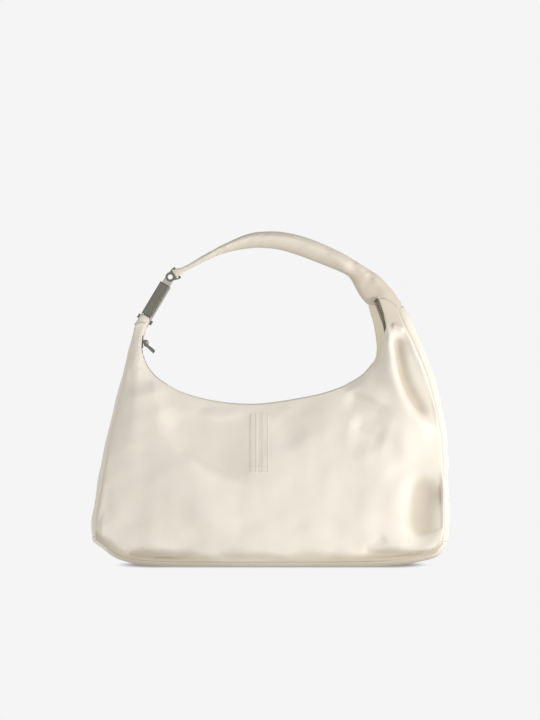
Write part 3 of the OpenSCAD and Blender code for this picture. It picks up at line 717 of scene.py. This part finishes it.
def stitch_row(start, end, side):
    """Separate thread stitches along a straight line on a panel, as small capsules."""
    start, end = np.array(start, float), np.array(end, float)
    total = np.linalg.norm(end - start)
    count = int(total / STITCH_PITCH)
    verts, faces = [], []
    for i in range(count):
        mid = start + (end - start) * (i + 0.5) / count
        half = (end - start) / total * STITCH_LEN / 2
        ends = on_panel(side, np.array([mid - half, mid - half * 0.6, mid, mid + half * 0.6, mid + half]), 0)
        lift = side * np.array([-0.25, 0.1, 0.25, 0.1, -0.25])
        ends[:, 1] += lift
        along = unit(ends[-1] - ends[0])
        across = unit(np.cross(along, (0, 1, 0)))
        up = np.cross(across, along)
        first = len(verts)
        for e, r in zip(ends, (0.1, 0.34, 0.38, 0.34, 0.1)):
            for a in np.linspace(0, 2 * np.pi, 6, endpoint=False):
                verts.append(e + r * (math.cos(a) * across + math.sin(a) * up))
        for k in range(4):
            for j in range(6):
                j2 = (j + 1) % 6
                faces.append([first + k * 6 + j, first + k * 6 + j2, first + k * 6 + 6 + j2,
                    first + k * 6 + 6 + j])
    return verts, faces


def stitch_piece(name, rows_of_stitches, side, stands_for=()):
    verts, faces = [], []
    for start, end in rows_of_stitches:
        v, f = stitch_row(start, end, side)
        faces += [[k + len(verts) for k in face] for face in f]
        verts += v
    mesh = bpy.data.meshes.new(name)
    mesh.from_pydata((np.array(verts) * MM).tolist(), [], faces)
    smooth(mesh)
    return finish_piece(link(bpy.data.objects.new(name, mesh)), "bag", THREAD, stands_for)


PLEAT_LINES = (-23.8, -18.2, -11.2, -4.8)
PLEAT_ROWS = [((x, 169.5), (x, 106.5)) for x in PLEAT_LINES]
PLEAT_ROWS += [((-26, z), (-3, z)) for z in (106.5, 112)]
for side, word in ((-1, "front"), (1, "back")):
    xs = np.concatenate([[-27.2, -26.9], np.linspace(-26.4, -2.6, 24), [-2.1, -1.8]])
    zs = np.concatenate([[102.2, 102.5], np.linspace(103, 171.4, 50), [172.0, 172.4]])
    grid = np.stack(np.meshgrid(xs, zs), -1)
    sheet = on_panel(side, grid.reshape(-1, 2), 0.3).reshape(grid.shape[0], grid.shape[1], 3)
    from_edge = np.minimum.reduce([grid[..., 0] + 27.2, -1.8 - grid[..., 0], grid[..., 1] - 102.2,
        172.4 - grid[..., 1]])
    tuck = 0.5 * np.exp(-((grid[..., 0] + 14.7) / 0.8) ** 2)
    sheet[..., 1] -= side * (0.9 * (1 - ease(0, 2.5, from_edge)) + tuck)
    for x in PLEAT_LINES:
        sheet[..., 1] -= side * 0.16 * np.exp(-((grid[..., 0] - x) / 0.8) ** 2)
    obj = grid_mesh("pleat_" + word, sheet if side < 0 else sheet[:, ::-1], grid if side < 0 else grid[:,
        ::-1])
    tone(obj, np.zeros(grid.shape[:2]))
    finish_piece(obj, "bag", LEATHER, [word + "_pleat"])
    stitch_piece("pleat_stitches_" + word, PLEAT_ROWS, side)


# ---- Leather loop that holds the buckle on the left horn ----
BAR_AT = np.array([-147.0, 267.5])
BUCKLE_UP = np.array([math.sin(LEAN), math.cos(LEAN)])
BUCKLE_ACROSS = np.array([math.cos(LEAN), -math.sin(LEAN)])
loop_side = smooth_curve([(-9, -9.4), (-7, -9.0), (-3, -8.0), (3, -6.2), (8.6, -4.2), (11.3, -1.8), (11.8,
    0)])
loop_path = joined(loop_side, (loop_side * [1, -1])[::-1])
f = np.linspace(0, 1, 90)
path = at(loop_path, f)
across = np.linspace(-1, 1, 30)
half = np.interp(path[:, 0], [-9, -4, 2, 11.8], [4.2, 5.0, 5.2, 4.6])
shift = np.interp(path[:, 0], [-9, -4, 2, 11.8], [3.0, 1.2, 0.2, -0.6])
w = shift[:, None] + half[:, None] * across[None]
tucked = 1 - 0.28 * np.abs(across[None]) ** 4
up = path[:, :1] * np.where(path[:, :1] > 0, 1 - 0.12 * np.abs(across[None]) ** 4, 1)
points = np.empty((90, 30, 3))
points[..., 0] = BAR_AT[0] + up * BUCKLE_UP[0] + w * BUCKLE_ACROSS[0]
points[..., 2] = BAR_AT[1] + up * BUCKLE_UP[1] + w * BUCKLE_ACROSS[1]
points[..., 1] = path[:, 1:] * tucked
creases = np.stack([points[..., 0], points[..., 2]], -1)
points[..., 1] *= 1 + 0.03 * waves(creases, 9, 77)
uv = np.stack([w, np.broadcast_to(lengths(path)[:, None], w.shape)], -1)
obj = grid_mesh("leather_loop", points, uv)
# The whole loop is coloured a tenth of the way towards the shaded colour.
tone(obj, np.full(w.shape, 0.1))
thicken(obj, 1.5, 1)
finish_piece(obj, "swing", LEATHER_SMOOTH, ["chape", "left_root_pad"])


# ---- Strap ----
INNER = smooth_curve([(-106.9, 322), (-104.2, 322.9), (-102, 325.2), (-98.5, 328.2), (-91, 332), (-81, 337),
    (-74, 340.4), (-66, 344), (-58, 347.4),
                      (-47, 350.6), (-36, 353), (-24, 354.6), (-11, 355), (9, 352.8), (31.5, 346), (54,
                      337.4),
                      (71, 330.6), (83, 325), (88, 320.5), (92.5, 312.5), (98, 302.5), (102.5, 296.5), (106,
                      292.5)])
OUTER = smooth_curve([(-111, 329), (-109.2, 331.3), (-106, 332), (-101.5, 332.8), (-94, 336.4), (-86,
    341.2), (-80, 345), (-71, 350), (-65, 353.2),
                      (-58, 357.2), (-47, 362.4), (-36, 367.4), (-25, 371), (-13, 373), (9, 373), (31.5,
                      368.6),
                      (54, 360.8), (76, 350.6), (88, 344), (99, 337.2), (110, 330.2), (121.8, 322), (130.8,
                      312.2),
                      (138.4, 303), (143, 296.4), (146, 291), (147.6, 286.5), (148, 282)])


def strap_surface(n=260, m=72):
    t = np.linspace(0, 1, n)
    inner, outer = at(INNER, t), at(OUTER, t)
    centre, half = (inner + outer) / 2, (outer - inner) / 2
    a = np.linspace(0, 2 * np.pi, m + 1)
    h, deep = squarish(np.cos(a), 0.8), squarish(np.sin(a), 0.72)
    width = np.interp(t, [0, 0.05, 0.16, 0.3, 0.55, 0.8, 0.93, 1], [2.6, 5.0, 9.0, 11.0, 11.5, 11.8, 10.6,
        9.6])
    # A soft ridge runs along the front; the strap leans away on both sides of it.
    ridge = np.interp(t, [0, 0.1, 0.2, 0.4, 0.6, 0.75, 1], [0.35, 0.35, 0.4, 0.45, 0.35, 0.35, 0.3])
    tent = np.interp(t, [0, 0.15, 0.3, 0.62, 0.75, 0.85, 1], [0.3, 0.3, 0.46, 0.5, 0.2, 0.1, 0.05])
    off = np.abs(h[None] - ridge[:, None]) / (1 + np.abs(ridge[:, None]))
    lean = np.where(h[None] > ridge[:, None], 0.6, 1.0)
    y = -deep[None] * width[:, None] * (1 - tent[:, None] * lean * off ** 1.1)
    xz = centre[:, None] + half[:, None] * h[None, :, None]
    press = np.zeros(xz.shape[:2])
    for path, height, left, right in (
            ([(84, 348), (90, 337), (95, 324)], -1.0, 4.5, 3.5),
            ([(95, 341), (99, 333), (104, 320)], 0.9, 4, 4.5),
            ([(103, 336), (108, 328), (111, 314)], -1.1, 4, 3.5),
            ([(112, 331), (117, 322), (118, 310)], 0.8, 6, 5),
            ([(60, 352), (76, 340), (88, 329)], 1.8, 8, 5),
            ([(-70, 350), (-62, 351), (-50, 356)], -1.0, 4, 5),
            ([(-98, 328), (-90, 333), (-80, 340)], 0.5, 2.2, 2.2),
            ([(-20, 366), (10, 366), (42, 357), (66, 345)], 1.2, 6, 3.5),
            ([(101, 322), (105.5, 325.5), (110, 329)], 0.8, 1.3, 2.4),
            ([(91, 334), (94, 336), (98, 336)], 0.6, 1.3, 2.0),
            ([(111, 318), (116, 320), (122, 317)], 0.5, 1.5, 2.4),
            ([(98, 316), (112, 306), (124, 304)], -1.0, 7, 8),
            ([(120, 318), (128, 306), (132, 296)], 0.7, 6, 6),
            ([(40, 348), (62, 338), (80, 329)], -1.2, 5, 4)):
        press += fold(xz, path, height, left, right, 0.3, 0.3)
    y = y - press * ease(-0.2, 0.4, deep)[None] + 0.9 * press * ease(-0.2, 0.4, -deep)[None]
    long_share = lengths(centre)
    grain = np.stack([np.broadcast_to(long_share[:, None], y.shape), y + h[None] * 14], -1)
    y = y + (0.28 * waves(grain, 34, 51) + 0.1 * waves(grain, 12,
        52)) * np.sign(deep)[None] * (1 - h ** 6)[None]
    points = np.stack([xz[..., 0], y, xz[..., 1]], -1)
    points[:, -1] = points[:, 0]
    rim = np.cumsum(np.linalg.norm(np.diff(points, axis=1, prepend=points[:, :1]), axis=-1), axis=1)
    uv = np.stack([rim, np.broadcast_to(long_share[:, None], y.shape)], -1)
    # Painted shade: the whole strap is coloured a little darker, more on its lower face along the middle and
    # towards its root.
    lower = np.clip(-h, 0, 1)[None] * ease(0.15, 0.35, t)[:, None] * (1 - ease(0.72, 0.9, t))[:, None]
    root = ease(0.76, 0.88, t)[:, None] * 0.5
    return points, uv, np.broadcast_to(np.clip(0.3 + 0.7 * lower + root, 0, 1), y.shape)


STRAP, STRAP_UV, STRAP_SHADE = strap_surface()
TAB_ROW, TAPER_ROW = 16, 54


def tube(name, start, end):
    """A length of the strap with capped ends."""
    obj = grid_mesh(name, STRAP[start:end], STRAP_UV[start:end])
    tone(obj, STRAP_SHADE[start:end])
    bm = bmesh.new()
    bm.from_mesh(obj.data)
    bmesh.ops.remove_doubles(bm, verts=bm.verts, dist=1e-6)
    bmesh.ops.holes_fill(bm, edges=[e for e in bm.edges if e.is_boundary], sides=0)
    bmesh.ops.recalc_face_normals(bm, faces=bm.faces)
    bm.to_mesh(obj.data)
    bm.free()
    smooth(obj.data)
    return obj


finish_piece(tube("leather_strap", TAPER_ROW, None), "swing", LEATHER_SMOOTH,
             ["strap", "right_root_pad"])
# On the bag the strap's end turns with the link and the thin length behind it slides with the tongue; here
# both are baked where they stand.
for name, first, last, near, far, node in (
        ("leather_strap_tab", 0, TAB_ROW, "link", "tongue", "strap_end_tab"),
        ("leather_strap_taper", TAB_ROW, TAPER_ROW, "tongue", "handle", "strap_taper")):
    obj = finish_piece(tube(name, first, last + 1), None, LEATHER_SMOOTH, [node])
    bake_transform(obj)


# ---- Zip along the mouth ----
ZIP_BELOW = 2.1
lip = mouth_low[len(corner):]
outward = np.gradient(lip, axis=0)
outward = unit(np.stack([outward[:, 1], -outward[:, 0]], -1))
sink = ZIP_BELOW * ease(0, 25, lengths(lip))
# The slider's whole travel lies on the exact arc, so that its two plates clear the teeth.
ARC_TO = 243
from_centre = lip - LEFT_CENTRE
past = np.degrees(np.arctan2(from_centre[:, 1], from_centre[:, 0])) % 360 > ARC_TO
common = joined(arc(LEFT_CENTRE, LEFT_R, 168, ARC_TO, 46), (lip + outward * sink[:, None])[past])[:-12]
MOUTH_ROWS = 260


def zip_line(y, horn):
    """The line common to the mouth at one depth y, and then its own way up the right horn."""
    start = np.stack([common[:, 0], np.full(len(common), float(y)), common[:, 1]], -1)
    way = smooth_curve([start[-1]] + horn)
    return np.vstack([at(start, np.linspace(0, 1, MOUTH_ROWS)), at(way, np.linspace(0, 1, 120))[1:]])


FRONT_LINE = zip_line(-10.2, [(114.2, -10.4, 221.8), (121, -10.2, 228), (126.5, -10.2, 236),
                              (130.5, -10.3, 248), (132.4, -10, 259), (131.8, -9.6, 270), (126.4, -9.2,
                              285), (120.8, -9, 299.6)])
MIDDLE_LINE = zip_line(0, [(113.8, -2.5, 222), (119.8, -4, 228), (124.4, -5.5, 236.5),
                           (127.8, -7.4, 248), (128.4, -9.4, 259.5), (126.4, -11.8, 269), (120.8, -12.6,
                           284), (115.4, -12.6, 298.6)])
BACK_LINE = zip_line(10.2, [(112.5, 9.8, 222.5), (116.6, 9.6, 231), (118.4, 9.6, 241),
                            (117.6, 9.6, 256), (114, 9.2, 273), (111.6, 8.6, 280), (109.5, 7.6, 288), (107,
                            6.0, 298)])
LATERAL = BACK_LINE - FRONT_LINE
# Up the horn the teeth turn to face the front.
facing = np.cross(np.gradient(MIDDLE_LINE, axis=0), (0, 1, 0))
facing *= np.where((facing * LATERAL).sum(axis=1, keepdims=True) < 0, -1, 1)
turned = ease(0.80, 0.9, np.linspace(0, 1, len(LATERAL)))[:, None]
LATERAL = unit(unit(LATERAL) * (1 - turned) + unit(facing) * turned)
TEETH_HALF = 2.9
TAPE_T = 0.7
for name, line, sign, node in (("zip_tape_cloth_front", FRONT_LINE, -1, "zip_tape_front"),
                               ("zip_tape_cloth_back", BACK_LINE, 1, "zip_tape_back")):
    near = MIDDLE_LINE + sign * LATERAL * 0.4
    share = np.linspace(0, 1, 9)
    points = near[:, None] * (1 - share[None, :, None]) + line[:, None] * share[None, :, None]
    uv = np.stack(np.meshgrid(share * 10, lengths(MIDDLE_LINE)), -1)
    if sign < 0:
        points, uv = points[:, ::-1], uv[:, ::-1]
    # Along the mouth the tape stays with the bag, as the slider does; up the horn it bends with the strap.
    mouth, horn = slice(0, MOUTH_ROWS), slice(MOUTH_ROWS - 1, None)
    finish_piece(thicken(grid_mesh(name, points[mouth], uv[mouth]), TAPE_T, 0), "bag", TAPE,
        [node])
    finish_piece(thicken(grid_mesh(name + "_horn", points[horn], uv[horn]), TAPE_T, 0), "swing", TAPE)


def tooth_row(sign, in_mouth, pitch=2.0):
    """One side's metal teeth, each a small bevelled block that clasps the cord of the tape."""
    s = lengths(MIDDLE_LINE)
    verts, faces = [], []
    for place in np.arange(1.0 + (pitch / 2 if sign > 0 else 0), s[-1] - 1, pitch):
        if (place < s[MOUTH_ROWS - 1]) != in_mouth:
            continue
        mid = np.array([np.interp(place, s, MIDDLE_LINE[:, k]) for k in range(3)])
        ahead = np.array([np.interp(place + 0.5, s, MIDDLE_LINE[:, k]) for k in range(3)])
        side = np.array([np.interp(place, s, LATERAL[:, k]) for k in range(3)]) * sign
        along = unit(ahead - mid)
        up = np.cross(along, side)
        first = len(verts)
        for reach, half_l, half_h in ((-0.55, 0.45, 0.6), (0.2, 0.62, 0.95), (TEETH_HALF - 0.5, 0.62, 1.05),
                (TEETH_HALF, 0.5, 0.75)):
            for a, b in ((-1, -1), (1, -1), (1, 1), (-1, 1)):
                verts.append(mid + side * reach + along * a * half_l + up * b * half_h)
        for k in range(3):
            for j in range(4):
                j2 = (j + 1) % 4
                faces.append([first + 4 * k + j, first + 4 * k + j2, first + 4 * k + 4 + j2,
                    first + 4 * k + 4 + j])
        faces += [[first + 3, first + 2, first + 1, first], [first + 12, first + 13, first + 14, first + 15]]
    mesh = bpy.data.meshes.new("teeth")
    mesh.from_pydata((np.array(verts) * MM).tolist(), [], faces)
    bm = bmesh.new()
    bm.from_mesh(mesh)
    bmesh.ops.recalc_face_normals(bm, faces=bm.faces)
    bm.to_mesh(mesh)
    bm.free()
    return mesh


for sign, word in ((-1, "front"), (1, "back")):
    obj = link(bpy.data.objects.new("zip_row_" + word, tooth_row(sign, True)))
    finish_piece(obj, "bag", GUNMETAL, ["zip_teeth_" + word])
    obj = link(bpy.data.objects.new("zip_row_horn_" + word, tooth_row(sign, False)))
    finish_piece(obj, "swing", GUNMETAL)


# The stop that ends the teeth below the strap
last = int(len(MIDDLE_LINE) * 0.985)
ahead = unit(MIDDLE_LINE[last] - MIDDLE_LINE[last - 4])
up = np.cross(ahead, LATERAL[last])
ring = np.linspace(0, 2 * np.pi, 25)
rows = []
for reach, size in ((-1.5, 0.0), (-1.5, 0.72), (-1.1, 1.0), (1.1, 1.0), (1.5, 0.72), (1.5, 0.0)):
    flat, deep = squarish(np.cos(ring), 0.5), squarish(np.sin(ring), 0.5)
    rows.append(MIDDLE_LINE[last] + ahead * reach + size * (flat[:, None] * LATERAL[last] * 2.4 + deep[:,
        None] * up * 1.5))
obj = grid_mesh("zip_end_stop", np.array(rows))
finish_piece(obj, "swing", DARK_STEEL, ["zip_right_stop"])


# ---- Looks of the CAD nodes that stay ----
CAD_LOOKS = {
    "base_stiffener": BOARD,
    "pocket_pouch": LINING, "pocket_zip_tape": TAPE, "pocket_zip_teeth": GUNMETAL,
    "zip_slider": DARK_STEEL, "pocket_slider": GUNMETAL, "zip_left_stop": DARK_STEEL,
    "zip_ring": DARK_STEEL, "zip_pull": DARK_STEEL, "pocket_pull": STEEL, "lever_spring": STEEL,
    "chape_bar": STEEL,
    "lever_pin": STEEL, "buckle_cover": PLATE, "tongue": STEEL, "hollow_rivet": DARK_STEEL,
    "strap_link": DARK_STEEL,
    "buckle_housing": STEEL, "release_lever": DARK_STEEL,
}
SHARP = ("zip_slider", "zip_ring", "zip_pull", "pocket_slider", "pocket_pull", "buckle_cover", "tongue",
    "hollow_rivet",
         "strap_link", "buckle_housing", "release_lever", "zip_left_stop")
for node, material in CAD_LOOKS.items():
    obj = NODES[node]
    obj.data.materials.clear()
    obj.data.materials.append(material)
    if node in SHARP:
        m = obj.modifiers.new("bevel", "BEVEL")
        m.width = 0.28 * MM
        m.segments = 2
        m.limit_method = "ANGLE"
        m.angle_limit = math.radians(35)
        m.harden_normals = True


# ---- Floor, light and camera ----
PALE = 0.913


def smooth_range(tree, value, start, end, low, high):
    """A smooth step from low to high as value goes from start to end."""
    n = tree.nodes.new("ShaderNodeMapRange")
    n.interpolation_type = "SMOOTHSTEP"
    for key, number in (("From Min", start), ("From Max", end), ("To Min", low), ("To Max", high)):
        n.inputs[key].default_value = number
    tree.links.new(value, n.inputs["Value"])
    return n.outputs["Result"]


def glow_floor():
    """Pale glowing floor with a faint soft shadow painted where the bag stands."""
    material = bpy.data.materials.new("pale_floor")
    material.use_nodes = True
    tree = material.node_tree
    tree.nodes.clear()
    place = tree.nodes.new("ShaderNodeNewGeometry").outputs["Position"]
    outside = None
    for kind, value in (("ABSOLUTE", None), ("SUBTRACT", (0.13, 0.0, 1.0)), ("MAXIMUM", (0, 0, 0)),
            ("LENGTH", None)):
        n = tree.nodes.new("ShaderNodeVectorMath")
        n.operation = kind
        tree.links.new(outside or place, n.inputs[0])
        if value:
            n.inputs[1].default_value = value
        outside = n.outputs["Value"] if kind == "LENGTH" else n.outputs["Vector"]
    glow = tree.nodes.new("ShaderNodeEmission")
    # Painted shadow: the glow dims to 0.30 close under the bag, which also leaves the bag's underside less
    # light from below.
    tree.links.new(smooth_range(tree, outside, 0.02, 0.05, 0.30, PALE), glow.inputs["Color"])
    tree.links.new(glow.outputs[0], tree.nodes.new("ShaderNodeOutputMaterial").inputs["Surface"])
    return material


bpy.ops.mesh.primitive_plane_add(size=30, location=(0, 0, -0.0004))
floor = bpy.context.object
floor.name = "floor"
floor.data.materials.append(glow_floor())

# The studio is as pale as the floor all round, and darker overhead.
OVERHEAD = 0.52
world = bpy.data.worlds.new("studio")
world.use_nodes = True
tree = world.node_tree
ray = tree.nodes.new("ShaderNodeTexCoord").outputs["Generated"]
split = tree.nodes.new("ShaderNodeSeparateXYZ")
tree.links.new(ray, split.inputs[0])
fall = smooth_range(tree, split.outputs["Z"], 0.33, 0.62, PALE, OVERHEAD)
tree.links.new(fall, tree.nodes["Background"].inputs["Color"])
bpy.context.scene.world = world


def area_light(name, place, target, size, power, colour=(1, 1, 1)):
    data = bpy.data.lights.new(name, "AREA")
    data.shape = "DISK"
    data.size, data.energy, data.color = size, power, colour
    lamp = link(bpy.data.objects.new(name, data))
    lamp.location = place
    lamp.rotation_mode = "QUATERNION"
    lamp.rotation_quaternion = (Vector(target) - Vector(place)).to_track_quat("-Z", "Y")
    lamp.visible_camera = False
    return lamp


area_light("key", (0.92, -0.58, 0.12), (0.05, 0, 0.12), 0.45, 11.0, (0.985, 0.99, 1.0))
area_light("front", (-0.3, -2.2, 0.15), (-0.03, 0, 0.13), 1.2, 2.0, (1.0, 0.99, 0.975))
area_light("left_fill", (-1.2, -0.9, 0.2), (-0.08, 0, 0.14), 0.7, 2.3, (1.0, 0.985, 0.96))
area_light("behind", (0.9, 2.0, 0.7), (0, 0, 0.15), 1.2, 12, (1.0, 0.99, 0.975))

camera = link(bpy.data.objects.new("camera", bpy.data.cameras.new("camera")))
camera.data.lens = LENS
camera.data.sensor_width = SENSOR
camera.data.clip_end = 30
camera.location = tuple(EYE)
camera.rotation_euler = (math.radians(90), 0, 0)
scene = bpy.context.scene
scene.camera = camera
scene.view_settings.view_transform = "Standard"
scene.view_settings.look = "None"
scene.view_settings.exposure = 0.0
scene.view_settings.gamma = 1.0
